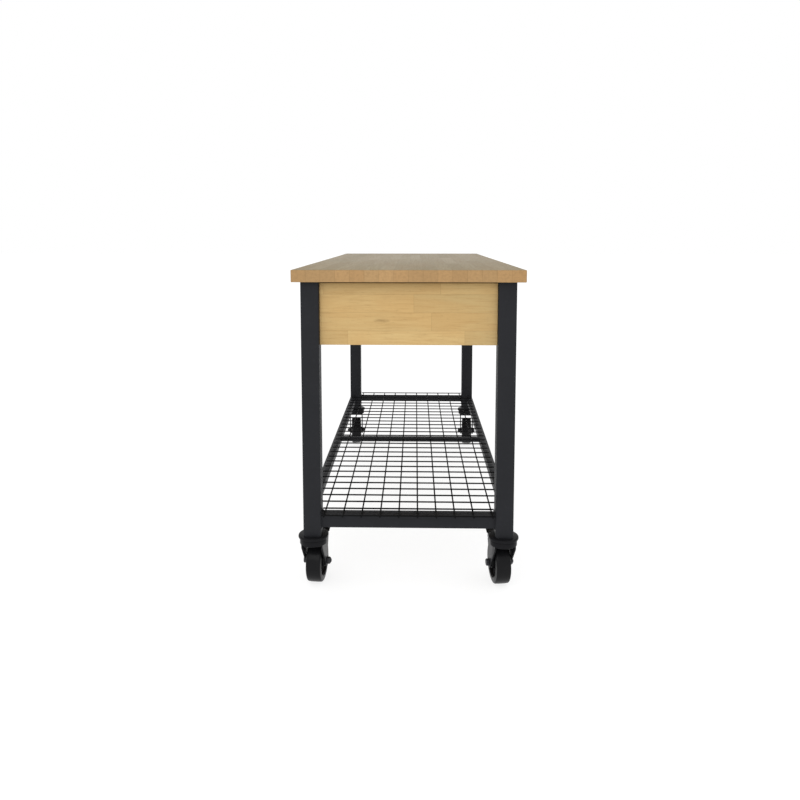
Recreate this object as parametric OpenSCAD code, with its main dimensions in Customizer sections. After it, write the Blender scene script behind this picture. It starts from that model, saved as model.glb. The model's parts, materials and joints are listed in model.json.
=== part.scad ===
// Rolling butcher block table: a glued wood worktop with wood aprons on a welded
// square-tube steel stand, a wire shelf near the floor and four swivel casters.
// Millimetres. X is the width, Y the length, Z up. The origin is on the floor,
// under the middle of the worktop.

/* [Worktop] */
// Length of the worktop, along Y
top_length = 1490; // [1100:10:2400]
// Width of the worktop, along X
top_width = 610; // [480:10:1000]
// Thickness of the worktop
top_thick = 32; // [22:1:60]
// Height of the worktop's upper face above the floor
table_height = 879; // [700:1:1100]
// How far the worktop stands out past the legs, on every side
top_overhang = 21; // [0:1:80]
// Chamfer along the worktop's edges
top_chamfer = 1.5; // [0.5:0.1:5]

/* [Legs] */
// Outer size of the square leg tube
leg_size = 48; // [40:1:80]
// Wall of the leg tube
leg_wall = 2; // [1.2:0.1:4]
// Outer corner radius of the leg tube
leg_corner = 3; // [1:0.5:6]

/* [Aprons] */
// Height of the wood aprons
apron_height = 165; // [80:1:220]
// Thickness of the apron boards
apron_thick = 16; // [12:1:22]
// How far the aprons sit back from the legs' outer faces
apron_inset = 14; // [4:1:16]
// Open gap between the aprons and the worktop
apron_gap = 4; // [1:0.5:12]
// Gap between an apron's end and the leg beside it
apron_end_gap = 0.5; // [0.2:0.1:3]

/* [Top frame] */
// Height of the steel rails under the worktop
top_rail_h = 30; // [20:1:50]
// Wall of those rails
top_rail_wall = 1.5; // [1:0.1:3]
// Width and height of the steel tabs that hold the aprons' lower ends
tab_size = 40; // [24:1:60]
// Thickness of the tabs
tab_thick = 3; // [2:0.5:5]
// Height of the tabs above the aprons' lower edges
tab_rise = 20; // [10:1:40]

/* [Screws] */
// Shank diameter of the wood screws
screw_d = 4.5; // [3:0.1:6]
// Head diameter of the wood screws
screw_head_d = 9; // [7:0.5:12]
// Head height of the wood screws
screw_head_h = 3; // [2:0.1:5]
// How deep the worktop's screws go into the worktop
top_screw_depth = 18; // [10:1:20]
// How deep the apron screws go into the aprons
apron_screw_depth = 10; // [6:1:11]
// Radial room between a screw and its hole in steel
screw_clearance = 0.3; // [0.1:0.1:1]
// Radial room between a screw and its pilot hole in wood
pilot_clearance = 0.02; // [0.01:0.01:0.1]

/* [Shelf] */
// Height of the shelf rails' upper faces above the floor
shelf_height = 212.5; // [190:0.5:400]
// Size of the square tube at the shelf's near end
near_rail = 36; // [20:1:40]
// Size of the square tube along the shelf's sides and at its far end
shelf_rail = 25; // [20:1:40]
// Width of the tube across the shelf's middle
mid_rail_w = 20; // [15:1:40]
// Height of the tube across the shelf's middle
mid_rail_h = 16; // [12:1:40]
// Wall of the shelf tubes
shelf_wall = 1.5; // [1:0.1:3]
// How far the end rails sit back from the legs' outer faces
end_rail_inset = 9; // [3:1:12]
// Corner radius of the shelf tubes
shelf_corner = 2; // [1:0.5:4]
// Centre distance of the shelf wires, both ways
wire_pitch = 50.5; // [30:0.5:80]
// Diameter of the wires along the table
long_wire_d = 3.5; // [2.5:0.1:6]
// Diameter of the wires across the table
cross_wire_d = 3.5; // [2.5:0.1:6]
// Distance of the cross wires' ends from the side rails' outer faces
wire_end = 9; // [5:1:14]
// How far the long wires run out past the end rails' outer faces
wire_overrun = 19; // [0:1:22]
// Room between the wires and the legs that they pass
wire_leg_gap = 1; // [0.5:0.5:5]
// Gap left at each weld between two crossing wires
weld_gap = 0.02; // [0.01:0.01:0.1]

/* [Casters] */
// Height of a caster, from the floor to the leg's lower end
caster_height = 154; // [150:1:175]
// Wheel diameter
wheel_d = 116; // [90:1:120]
// Wheel width
wheel_w = 42; // [24:1:50]
// Thickness of the tyre
tyre_thick = 13; // [8:1:20]
// Radius of the tyre's shoulders
tyre_round = 4; // [2:0.5:7]
// Distance from the swivel's axis to the axle
caster_trail = 42; // [25:1:48]
// Diameter of the caster's round head
head_d = 82; // [76:1:100]
// Thickness of the head's plate
head_plate = 3; // [2:0.5:5]
// Height of the head with its skirt
head_h = 8; // [7:0.5:12]
// Wall of the head's skirt
skirt_wall = 2; // [1.5:0.5:4]
// Diameter of the bearing balls in the swivel
ball_d = 5; // [4:0.5:6]
// Radius of the ring of balls
ball_ring_r = 27; // [22:1:30]
// Number of balls
ball_count = 16; // [8:1:20]
// Room between a ball and its tracks
ball_gap = 0.05; // [0.02:0.01:0.1]
// Diameter of the kingpin and of the stem above it
kingpin_d = 12; // [10:1:16]
// Length of the stem above the head
stem_length = 26; // [16:1:40]
// Diameter of the kingpin's lower flange
kingpin_flange_d = 22; // [18:1:30]
// Thickness of the kingpin's lower flange
kingpin_flange_h = 4; // [3:0.5:6]
// Running clearance, on the radius, of every shaft and pin
run_clearance = 0.05; // [0.02:0.01:0.1]
// Sheet thickness of the fork
fork_sheet = 4; // [2:0.5:5]
// Thickness of the fork's crown
crown_h = 4; // [3:0.5:6]
// Diameter of the fork's crown
crown_d = 74; // [66:1:78]
// Depth of the turned-down lip around the crown
crown_lip = 13; // [6:1:16]
// Half the length of a fork arm where it meets the crown
arm_top_half = 22; // [18:1:24]
// Radius of a fork arm's end, around the axle
arm_eye_r = 15; // [11:1:20]
// Room between the wheel and each fork arm
wheel_side_gap = 4.5; // [2:0.5:6]
// Axle bolt diameter
axle_d = 10; // [8:1:12]
// Wall of the sleeve on the axle
sleeve_wall = 2; // [1.5:0.5:3]
// Across-flats size of the axle's head and nut
axle_hex = 17; // [13:1:19]
// Height of the axle's head and nut
axle_hex_h = 8; // [5:0.5:10]
// How far the axle's thread stands out of the nut
thread_end = 3; // [1:0.5:8]
// Rest swivel of each caster about Z: near left, near right, far left, far right
caster_turn = [-5, 8, 186, 177];

/* [Brakes] */
// How far the pedal's pin is behind the swivel's axis
pedal_pin_back = 52; // [48:1:58]
// Height of the pedal's pin above the axle
pedal_pin_rise = 71.5; // [70:0.5:76]
// Diameter of the pedal's pin
pedal_pin_d = 6; // [5:0.5:8]
// Radius of the pedal's hub
pedal_hub_r = 7; // [6:0.5:8]
// Radius of the fork's ears around the pin
ear_r = 8; // [7:0.5:10]
// Width of the foot pad
pad_width = 58; // [46:1:70]
// Reach of the foot pad behind the pin
pad_reach = 50; // [40:1:60]
// Rise of the foot pad's tip above the pin
pad_rise = 14; // [0:1:16]
// Thickness of the pedal
pedal_thick = 4; // [3:0.5:6]

/* [Hidden] */
$fn = 48;
SMALL = 0.01;

CORNERS = ["near_left", "near_right", "far_left", "far_right"];
CORNER_X = [-1, 1, -1, 1];
CORNER_Y = [-1, -1, 1, 1];
BRAKED = [0, 1];

// Worktop and stand
top_under = table_height - top_thick;
frame_w = top_width - 2 * top_overhang;
frame_l = top_length - 2 * top_overhang;
leg_x = frame_w / 2 - leg_size / 2;
leg_y = frame_l / 2 - leg_size / 2;
span_w = frame_w - 2 * leg_size;
span_l = frame_l - 2 * leg_size;
apron_top = top_under - apron_gap;
apron_bottom = apron_top - apron_height;
apron_back = apron_inset + apron_thick;
top_rail_w = leg_size - apron_back;
top_rail_in = apron_back + top_rail_w / 2;
top_rail_z = top_under - top_rail_h / 2;

// Screws: rows along each rail, the apron screws halfway between the worktop's
end_screws = 3;
side_screws = 5;
screw_margin = 56;
end_screw_step = (span_w - 2 * screw_margin) / (end_screws - 1);
side_screw_step = (span_l - 2 * screw_margin) / (side_screws - 1);
mid_screw_x = span_w / 4;
apron_screw_z = top_rail_z;
tab_hole_rise = tab_size / 4;
socket_af = screw_head_d / 3;
socket_depth = screw_head_h / 2;

// Shelf
shelf_in_x = frame_w / 2 - shelf_rail;
long_wire_half = frame_l / 2 - end_rail_inset + wire_overrun;
cross_wire_half = frame_w / 2 - wire_end;
long_half_count = floor((shelf_in_x - long_wire_d) / wire_pitch + 0.5);
cross_half_count = floor((long_wire_half - cross_wire_d / 2) / wire_pitch + 0.5);
long_wire_z = shelf_height + long_wire_d / 2;
cross_wire_z = shelf_height + long_wire_d + weld_gap + cross_wire_d / 2;
mid_rail_y = wire_pitch / 2;

// Casters, each drawn with its swivel axis on Z, its axle along X and its trail along +Y
axle_z = wheel_d / 2;
head_top = caster_height;
head_under = head_top - head_plate;
crown_top = head_under - ball_d - 2 * ball_gap;
crown_bottom = crown_top - crown_h;
arm_in = wheel_w / 2 + wheel_side_gap;
arm_out = arm_in + fork_sheet;
sleeve_r = axle_d / 2 + run_clearance + sleeve_wall;
hub_r = wheel_d / 2 - tyre_thick;
hub_boss_r = sleeve_r + 9;
hub_boss_half = arm_in - 1;
hub_rim = 6;
hub_rim_half = wheel_w / 2 - 2;
hub_web = 8;
tyre_lip = 3;
plug_gap = 0.1;
plug_h = 12;
kingpin_r = kingpin_d / 2;
flange_gap = 0.1;
pedal_pin_z = axle_z + pedal_pin_rise;
pedal_half = arm_in - 0.5;
pin_head = 2;
shoe_reach = norm([pedal_pin_back - caster_trail, pedal_pin_rise]) - wheel_d / 2 - 0.8;
pad_start = 18;

module rounded_rect(w, h, r) {
    square([w - 2 * r, h], center = true);
    square([w, h - 2 * r], center = true);
    for (sx = [-1, 1], sy = [-1, 1])
        translate([sx * (w / 2 - r), sy * (h / 2 - r)]) circle(r);
}

// Square or oblong tube along Z, from z = 0 up
module tube(w, h, length, wall, r) {
    linear_extrude(length) difference() {
        rounded_rect(w, h, r);
        rounded_rect(w - 2 * wall, h - 2 * wall, max(r - wall, 0.5));
    }
}

module tube_x(length, w, h, wall, r) {
    translate([-length / 2, 0, 0]) rotate([90, 0, 90]) tube(w, h, length, wall, r);
}

module tube_y(length, w, h, wall, r) {
    rotate([0, 0, 90]) tube_x(length, w, h, wall, r);
}

// Wood screw: head below z = 0, shank upwards
module wood_screw(length) {
    cylinder(d = screw_d, h = length - screw_d / 2);
    translate([0, 0, length - screw_d / 2]) cylinder(d1 = screw_d, d2 = screw_d / 4, h = screw_d / 2);
    difference() {
        translate([0, 0, -screw_head_h])
            cylinder(d1 = screw_head_d * 0.8, d2 = screw_head_d, h = screw_head_h);
        translate([0, 0, -screw_head_h - SMALL])
            cylinder(d = socket_af * 2 / sqrt(3), h = socket_depth, $fn = 6);
    }
}

// Places for the worktop's screws in each rail
module at_worktop_screws_end() {
    for (i = [0:end_screws - 1])
        translate([-span_w / 2 + screw_margin + i * end_screw_step, 0, 0]) children();
}

module at_worktop_screws_side() {
    for (i = [0:side_screws - 1])
        translate([0, -span_l / 2 + screw_margin + i * side_screw_step, 0]) children();
}

module at_worktop_screws_mid() {
    for (sx = [-1, 1]) translate([sx * mid_screw_x, 0, 0]) children();
}

// Places for the apron screws in each rail, halfway between the others
module at_apron_screws_end() {
    for (i = [0:end_screws - 2])
        translate([-span_w / 2 + screw_margin + (i + 0.5) * end_screw_step, 0, 0]) children();
}

module at_apron_screws_side() {
    for (i = [0:side_screws - 2])
        translate([-span_l / 2 + screw_margin + (i + 0.5) * side_screw_step, 0, 0]) children();
}

// The two ends and the two sides of the stand: outwards is -Y after the turn
module at_end(s) {
    rotate([0, 0, s > 0 ? 180 : 0]) translate([0, -frame_l / 2, 0]) children();
}

module at_side(s) {
    rotate([0, 0, s > 0 ? 90 : -90]) translate([0, -frame_w / 2, 0]) children();
}

// Screws into an apron point outwards, from the inner face at depth y
module apron_screw_row_end(y, z) {
    at_apron_screws_end() translate([0, y, z]) rotate([90, 0, 0]) children();
}

module apron_screw_row_side(y, z) {
    at_apron_screws_side() translate([0, y, z]) rotate([90, 0, 0]) children();
}

// Tabs stand on the legs' inner faces, against the aprons' backs
module at_tabs(span) {
    for (s = [-1, 1])
        translate([s * (span / 2 - tab_size / 2), apron_back, apron_bottom + tab_rise + tab_size / 2])
            children();
}

module at_tab_screws(span) {
    at_tabs(span) for (s = [-1, 1])
        translate([0, 0, s * tab_hole_rise]) children();
}

module worktop() {
    color("#c39a63") difference() {
        translate([0, 0, top_under]) worktop_blank();
        for (s = [-1, 1]) at_end(s) at_worktop_screws_end() pilot_up(top_rail_in);
        for (s = [-1, 1]) translate([s * (frame_w / 2 - top_rail_in), 0, 0])
            at_worktop_screws_side() pilot_up(0);
        at_worktop_screws_mid() pilot_up(0);
    }
}

module worktop_blank() {
    w = top_width;
    l = top_length;
    c = top_chamfer;
    intersection() {
        translate([-w / 2, -l / 2, 0]) cube([w, l, top_thick]);
        rotate([90, 0, 90]) translate([0, 0, -w / 2]) linear_extrude(w) chamfered(l, c);
        rotate([90, 0, 0]) translate([0, 0, -l / 2]) linear_extrude(l) chamfered(w, c);
    }
}

module chamfered(w, c) {
    polygon([[-w / 2 + c, 0], [w / 2 - c, 0], [w / 2, c], [w / 2, top_thick - c],
             [w / 2 - c, top_thick], [-w / 2 + c, top_thick], [-w / 2, top_thick - c], [-w / 2, c]]);
}

module pilot_up(y) {
    translate([0, y, top_under - SMALL])
        cylinder(r = screw_d / 2 + pilot_clearance, h = top_screw_depth + 1);
}

module pilot_out() {
    translate([0, 0, -SMALL]) cylinder(r = screw_d / 2 + pilot_clearance, h = apron_screw_depth + 1);
}

module apron(span) {
    length = span - 2 * apron_end_gap;
    difference() {
        translate([-length / 2, apron_inset, apron_bottom]) cube([length, apron_thick, apron_height]);
        children();
    }
}

module apron_end(s) {
    color("#d0a96f") at_end(s) apron(span_w) {
        apron_screw_row_end(apron_back, apron_screw_z) pilot_out();
        at_tab_screws(span_w) rotate([90, 0, 0]) pilot_out();
    }
}

module apron_side(s) {
    color("#d0a96f") at_side(s) apron(span_l) {
        apron_screw_row_side(apron_back, apron_screw_z) pilot_out();
        at_tab_screws(span_l) rotate([90, 0, 0]) pilot_out();
    }
}

module leg(i) {
    color("#3c3d3f") translate([CORNER_X[i] * leg_x, CORNER_Y[i] * leg_y, caster_height])
        tube(leg_size, leg_size, top_under - caster_height, leg_wall, leg_corner);
}

module hole_up() {
    translate([0, 0, -top_rail_h]) cylinder(r = screw_d / 2 + screw_clearance, h = 2 * top_rail_h);
}

module hole_out() {
    translate([0, 0, -2 * top_rail_w]) cylinder(r = screw_d / 2 + screw_clearance, h = 4 * top_rail_w);
}

module top_rail_end(s) {
    color("#2f3032") at_end(s) translate([0, top_rail_in, top_rail_z]) difference() {
        tube_x(span_w, top_rail_w, top_rail_h, top_rail_wall, shelf_corner);
        at_worktop_screws_end() hole_up();
        at_apron_screws_end() rotate([90, 0, 0]) hole_out();
    }
}

module top_rail_side(s) {
    color("#2f3032") at_side(s) translate([0, top_rail_in, top_rail_z]) difference() {
        tube_x(span_l, top_rail_w, top_rail_h, top_rail_wall, shelf_corner);
        rotate([0, 0, 90]) at_worktop_screws_side() hole_up();
        at_apron_screws_side() rotate([90, 0, 0]) hole_out();
    }
}

module top_rail_mid() {
    color("#2f3032") translate([0, 0, top_rail_z]) difference() {
        tube_x(span_w, top_rail_w, top_rail_h, top_rail_wall, shelf_corner);
        at_worktop_screws_mid() hole_up();
    }
}

module worktop_screws() {
    length = top_rail_h + top_screw_depth;
    color("silver") translate([0, 0, top_under - top_rail_h]) {
        for (s = [-1, 1]) at_end(s) at_worktop_screws_end()
            translate([0, top_rail_in, 0]) wood_screw(length);
        for (s = [-1, 1]) translate([s * (frame_w / 2 - top_rail_in), 0, 0])
            at_worktop_screws_side() wood_screw(length);
        at_worktop_screws_mid() wood_screw(length);
    }
}

module apron_screws() {
    rail_length = top_rail_w + apron_screw_depth;
    tab_length = tab_thick + apron_screw_depth;
    color("silver") for (s = [-1, 1]) {
        at_end(s) apron_screw_row_end(leg_size, apron_screw_z) wood_screw(rail_length);
        at_side(s) apron_screw_row_side(leg_size, apron_screw_z) wood_screw(rail_length);
        at_end(s) at_tab_screws(span_w) translate([0, tab_thick, 0])
            rotate([90, 0, 0]) wood_screw(tab_length);
        at_side(s) at_tab_screws(span_l) translate([0, tab_thick, 0])
            rotate([90, 0, 0]) wood_screw(tab_length);
    }
}

module tab() {
    difference() {
        translate([-tab_size / 2, 0, -tab_size / 2]) cube([tab_size, tab_thick, tab_size]);
        for (s = [-1, 1]) translate([0, 0, s * tab_hole_rise]) rotate([90, 0, 0]) hole_out();
    }
}

module apron_tabs() {
    color("#2f3032") for (s = [-1, 1]) {
        at_end(s) at_tabs(span_w) tab();
        at_side(s) at_tabs(span_l) tab();
    }
}

module leg_plugs() {
    size = leg_size - 2 * leg_wall - 2 * plug_gap;
    color("#2a2a2c") for (i = [0:3])
        translate([CORNER_X[i] * leg_x, CORNER_Y[i] * leg_y, caster_height]) difference() {
            linear_extrude(plug_h) rounded_rect(size, size, max(leg_corner - leg_wall, 0.5));
            translate([0, 0, -1]) cylinder(r = kingpin_r + run_clearance, h = plug_h + 2);
        }
}

module shelf_rail_end(s, size) {
    color("#303133") at_end(s) translate([0, end_rail_inset + size / 2, shelf_height - size / 2])
        tube_x(span_w, size, size, shelf_wall, shelf_corner);
}

module shelf_rail_side(s) {
    color("#303133") translate([s * (frame_w - shelf_rail) / 2, 0, shelf_height - shelf_rail / 2])
        tube_y(span_l, shelf_rail, shelf_rail, shelf_wall, shelf_corner);
}

module shelf_rail_mid() {
    color("#303133") translate([0, mid_rail_y, shelf_height - mid_rail_h / 2])
        tube_x(2 * shelf_in_x, mid_rail_w, mid_rail_h, shelf_wall, shelf_corner);
}

// Half the length of a wire: one that would meet the legs stops short of them
function wire_half(place, d, leg_place, half, span) =
    place + d / 2 + wire_leg_gap > leg_place ? min(half, span / 2 - wire_leg_gap) : half;

module wire(half, d) {
    rotate([0, 90, 0]) cylinder(d = d, h = 2 * half, center = true);
}

module shelf_long_wires() {
    color("#2b2b2d") for (i = [1:long_half_count], s = [-1, 1]) {
        place = (i - 0.5) * wire_pitch;
        half = wire_half(place, long_wire_d, span_w / 2, long_wire_half, span_l);
        translate([s * place, 0, long_wire_z]) rotate([0, 0, 90]) wire(half, long_wire_d);
    }
}

module shelf_cross_wires() {
    color("#2b2b2d") for (i = [1:cross_half_count], s = [-1, 1]) {
        place = (i - 0.5) * wire_pitch;
        half = wire_half(place, cross_wire_d, span_l / 2, cross_wire_half, span_w);
        translate([0, s * place, cross_wire_z]) wire(half, cross_wire_d);
    }
}

module at_caster(i) {
    translate([CORNER_X[i] * leg_x, CORNER_Y[i] * leg_y, 0]) rotate([0, 0, caster_turn[i]]) children();
}

// Fixed head: round plate with a skirt, the stem above it and the kingpin below
module caster_head(i) {
    color("#242426") at_caster(i) {
        translate([0, 0, head_under]) cylinder(d = head_d, h = head_plate);
        translate([0, 0, head_top - head_h]) difference() {
            cylinder(d = head_d, h = head_h);
            translate([0, 0, -1]) cylinder(d = head_d - 2 * skirt_wall, h = head_h);
        }
        translate([0, 0, head_top - SMALL]) cylinder(r = kingpin_r, h = stem_length);
        translate([0, 0, crown_bottom - flange_gap]) cylinder(r = kingpin_r, h = head_top - crown_bottom);
        translate([0, 0, crown_bottom - flange_gap - kingpin_flange_h])
            cylinder(d = kingpin_flange_d, h = kingpin_flange_h);
    }
}

module swivel_balls(i) {
    color("silver") at_caster(i) for (k = [0:ball_count - 1])
        rotate([0, 0, k * 360 / ball_count])
            translate([ball_ring_r, 0, crown_top + ball_gap + ball_d / 2]) sphere(d = ball_d, $fn = 24);
}

// Outline of a fork arm seen along the axle: x is the trail, y the height
module arm_outline(braked) {
    polygon([[-arm_top_half, crown_top - SMALL], [-arm_top_half, crown_bottom - 8],
             [caster_trail - arm_eye_r, axle_z], [caster_trail + arm_eye_r, axle_z],
             [arm_top_half + 8, crown_bottom - 14], [arm_top_half, crown_bottom - 4],
             [arm_top_half, crown_top - SMALL]]);
    translate([caster_trail, axle_z]) circle(arm_eye_r);
    if (braked) {
        polygon([[0, crown_bottom], [arm_top_half, crown_bottom], [pedal_pin_back, pedal_pin_z + ear_r],
                 [pedal_pin_back + ear_r, pedal_pin_z], [caster_trail + arm_eye_r / 2, axle_z + 20],
                 [0, axle_z + 40]]);
        translate([pedal_pin_back, pedal_pin_z]) circle(ear_r);
    }
}

module fork(i) {
    braked = len(search(i, BRAKED)) > 0;
    color("#26272a") at_caster(i) difference() {
        union() {
            translate([0, 0, crown_bottom]) cylinder(d = crown_d, h = crown_h);
            translate([0, 0, crown_bottom - crown_lip]) linear_extrude(crown_lip + SMALL) difference() {
                circle(d = crown_d);
                circle(d = crown_d - 2 * fork_sheet);
            }
            for (s = [-1, 1]) translate([s * (arm_in + fork_sheet / 2) - fork_sheet / 2, 0, 0])
                rotate([90, 0, 90]) linear_extrude(fork_sheet) arm_outline(braked);
        }
        translate([0, 0, crown_bottom - 1]) cylinder(r = kingpin_r + run_clearance, h = crown_h + 2);
        along_axle(caster_trail, axle_z, 2 * arm_out + 2) circle(axle_d / 2 + run_clearance);
        if (braked)
            along_axle(pedal_pin_back, pedal_pin_z, 2 * arm_out + 2) circle(pedal_pin_d / 2 + run_clearance);
    }
}

// Extrudes a shape along X, centred, at trail y and height z
module along_axle(y, z, length) {
    translate([-length / 2, y, z]) rotate([90, 0, 90]) linear_extrude(length) children();
}

module axle_bolt(i) {
    color("silver") at_caster(i) {
        along_axle(caster_trail, axle_z, 2 * arm_out) circle(axle_d / 2);
        translate([-arm_out - axle_hex_h, caster_trail, axle_z]) rotate([0, 90, 0])
            cylinder(d = axle_hex * 2 / sqrt(3), h = axle_hex_h, $fn = 6);
        translate([arm_out - SMALL, caster_trail, axle_z]) rotate([0, 90, 0])
            cylinder(d = axle_d, h = axle_hex_h + thread_end);
        translate([arm_out, caster_trail, axle_z]) rotate([0, 90, 0]) difference() {
            cylinder(d = axle_hex * 2 / sqrt(3), h = axle_hex_h, $fn = 6);
            translate([0, 0, -1]) cylinder(r = axle_d / 2 + run_clearance, h = axle_hex_h + 2);
        }
    }
}

module axle_sleeve(i) {
    color("silver") at_caster(i) along_axle(caster_trail, axle_z, 2 * arm_in) difference() {
        circle(sleeve_r);
        circle(axle_d / 2 + run_clearance);
    }
}

module wheel_hub(i) {
    bore = sleeve_r + run_clearance;
    web = hub_r - hub_rim - hub_boss_r;
    color("#1c1c1e") at_caster(i) translate([0, caster_trail, axle_z]) rotate([0, 90, 0])
        rotate_extrude($fn = 96) {
            translate([bore, -hub_boss_half]) square([hub_boss_r - bore, 2 * hub_boss_half]);
            translate([hub_boss_r - SMALL, -hub_web / 2]) square([web + 2 * SMALL, hub_web]);
            translate([hub_r - hub_rim, -hub_rim_half]) square([hub_rim, 2 * hub_rim_half]);
        }
}

module tyre(i) {
    section = tyre_thick + tyre_lip;
    color("#161617") at_caster(i) translate([0, caster_trail, axle_z]) rotate([0, 90, 0])
        rotate_extrude($fn = 128) difference() {
            translate([wheel_d / 2 - section / 2, 0]) rounded_rect(section, wheel_w, tyre_round);
            translate([hub_r - tyre_lip - 1, -hub_rim_half]) square([tyre_lip + 1, 2 * hub_rim_half]);
        }
}

// Pedal seen along its pin: x is the trail, y the height, both from the pin
module pedal_outline() {
    circle(pedal_hub_r);
    polygon([[0, pedal_hub_r], [pad_start, pedal_hub_r - 2], [pad_reach, pad_rise + pedal_thick],
             [pad_reach, pad_rise], [pad_start, pedal_hub_r - 2 - pedal_thick], [0, 0]]);
}

module pad_outline() {
    intersection() {
        pedal_outline();
        translate([pad_start, -pad_reach]) square(2 * pad_reach);
    }
}

module shoe_outline() {
    polygon([[-5, 0], [5, 0], [3, -shoe_reach], [-3, -shoe_reach]]);
}

module brake_pedal(i) {
    length = 2 * pedal_half;
    color("#202022") at_caster(i) difference() {
        union() {
            along_axle(pedal_pin_back, pedal_pin_z, length) pedal_outline();
            along_axle(pedal_pin_back, pedal_pin_z, pad_width) pad_outline();
            along_axle(pedal_pin_back, pedal_pin_z, length / 2) shoe_outline();
        }
        along_axle(pedal_pin_back, pedal_pin_z, length + 2) circle(pedal_pin_d / 2 + run_clearance);
    }
}

module pedal_pin(i) {
    length = 2 * arm_out;
    color("silver") at_caster(i) {
        along_axle(pedal_pin_back, pedal_pin_z, length) circle(pedal_pin_d / 2);
        for (s = [-1, 1]) translate([s * (arm_out + pin_head / 2), 0, 0])
            along_axle(pedal_pin_back, pedal_pin_z, pin_head) circle(pedal_pin_d / 2 + 2);
    }
}

worktop();
apron_end(-1);  // apron_near
apron_end(1);  // apron_far
apron_side(-1);  // apron_left
apron_side(1);  // apron_right
top_rail_end(-1);  // top_rail_near
top_rail_end(1);  // top_rail_far
top_rail_side(-1);  // top_rail_left
top_rail_side(1);  // top_rail_right
top_rail_mid();
worktop_screws();
apron_screws();
apron_tabs();
leg_plugs();
shelf_rail_end(-1, near_rail);  // shelf_rail_near
shelf_rail_end(1, shelf_rail);  // shelf_rail_far
shelf_rail_side(-1);  // shelf_rail_left
shelf_rail_side(1);  // shelf_rail_right
shelf_rail_mid();
shelf_long_wires();
shelf_cross_wires();
for (i = [0:3]) {
    leg(i);
    caster_head(i);
    swivel_balls(i);
    fork(i);
    axle_bolt(i);
    axle_sleeve(i);
    wheel_hub(i);
    tyre(i);
}
for (i = BRAKED) {
    brake_pedal(i);
    pedal_pin(i);
}
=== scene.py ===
import json
import math

import bmesh
import bpy
from bpy.props import FloatProperty, FloatVectorProperty, IntProperty, PointerProperty
from mathutils import Matrix, Vector


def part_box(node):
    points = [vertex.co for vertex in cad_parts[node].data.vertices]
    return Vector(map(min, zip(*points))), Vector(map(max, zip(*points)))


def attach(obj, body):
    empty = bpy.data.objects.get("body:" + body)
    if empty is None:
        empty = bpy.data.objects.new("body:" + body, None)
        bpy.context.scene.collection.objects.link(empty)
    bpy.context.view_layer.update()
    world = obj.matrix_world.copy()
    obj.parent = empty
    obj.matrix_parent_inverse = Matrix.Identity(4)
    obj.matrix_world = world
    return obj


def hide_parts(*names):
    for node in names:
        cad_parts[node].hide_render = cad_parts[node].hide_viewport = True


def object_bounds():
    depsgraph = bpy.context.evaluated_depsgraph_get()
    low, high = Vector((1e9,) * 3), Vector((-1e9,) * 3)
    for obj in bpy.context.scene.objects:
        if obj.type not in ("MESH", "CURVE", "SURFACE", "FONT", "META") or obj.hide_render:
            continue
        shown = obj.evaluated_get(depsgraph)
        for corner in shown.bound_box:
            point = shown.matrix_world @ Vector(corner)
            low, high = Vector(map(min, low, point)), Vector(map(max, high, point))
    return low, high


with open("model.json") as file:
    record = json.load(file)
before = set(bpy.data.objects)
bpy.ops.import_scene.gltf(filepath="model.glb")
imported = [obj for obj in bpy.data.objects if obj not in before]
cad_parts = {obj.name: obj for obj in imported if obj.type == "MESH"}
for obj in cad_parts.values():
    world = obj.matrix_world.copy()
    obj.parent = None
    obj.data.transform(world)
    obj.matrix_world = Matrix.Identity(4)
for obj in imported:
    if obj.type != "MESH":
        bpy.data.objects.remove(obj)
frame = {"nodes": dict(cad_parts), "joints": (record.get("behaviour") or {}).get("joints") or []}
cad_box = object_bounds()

bl_info = {
    "name": "Rolling butcher block table",
    "version": (1, 0, 0),
    "blender": (4, 5, 0),
    "location": "View3D > Sidebar > Table",
    "description": "Builds a wheeled butcher block table around its packed frame",
    "category": "Add Mesh",
}

CORNERS = ("near_left", "near_right", "far_left", "far_right")
JOINTS = {joint["name"]: joint for joint in frame["joints"]}
BRAKED = [corner for corner in CORNERS if "brake_" + corner in JOINTS]
STAND = "stand"
FINISHES = {}
MM = 0.001
CLOSE = 0.00001    # points nearer than this count as one
CUT_REACH = 0.1    # half the length of a cutter that passes right through a caster piece
WIRE_SPACE = 0.01  # more than a wire's thickness, less than the space between two wires
WIRE_SIDES = 14

# Sizes of the casters that the frame's boxes don't give
CROWN_SHEET = 0.004
AXLE_RADIUS = 0.005
PIN_OVERHANG = 0.002
AXLE_HOLE = 0.00505
PIN_HOLE = 0.00305


# Sizes and colours that a user would change


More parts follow.
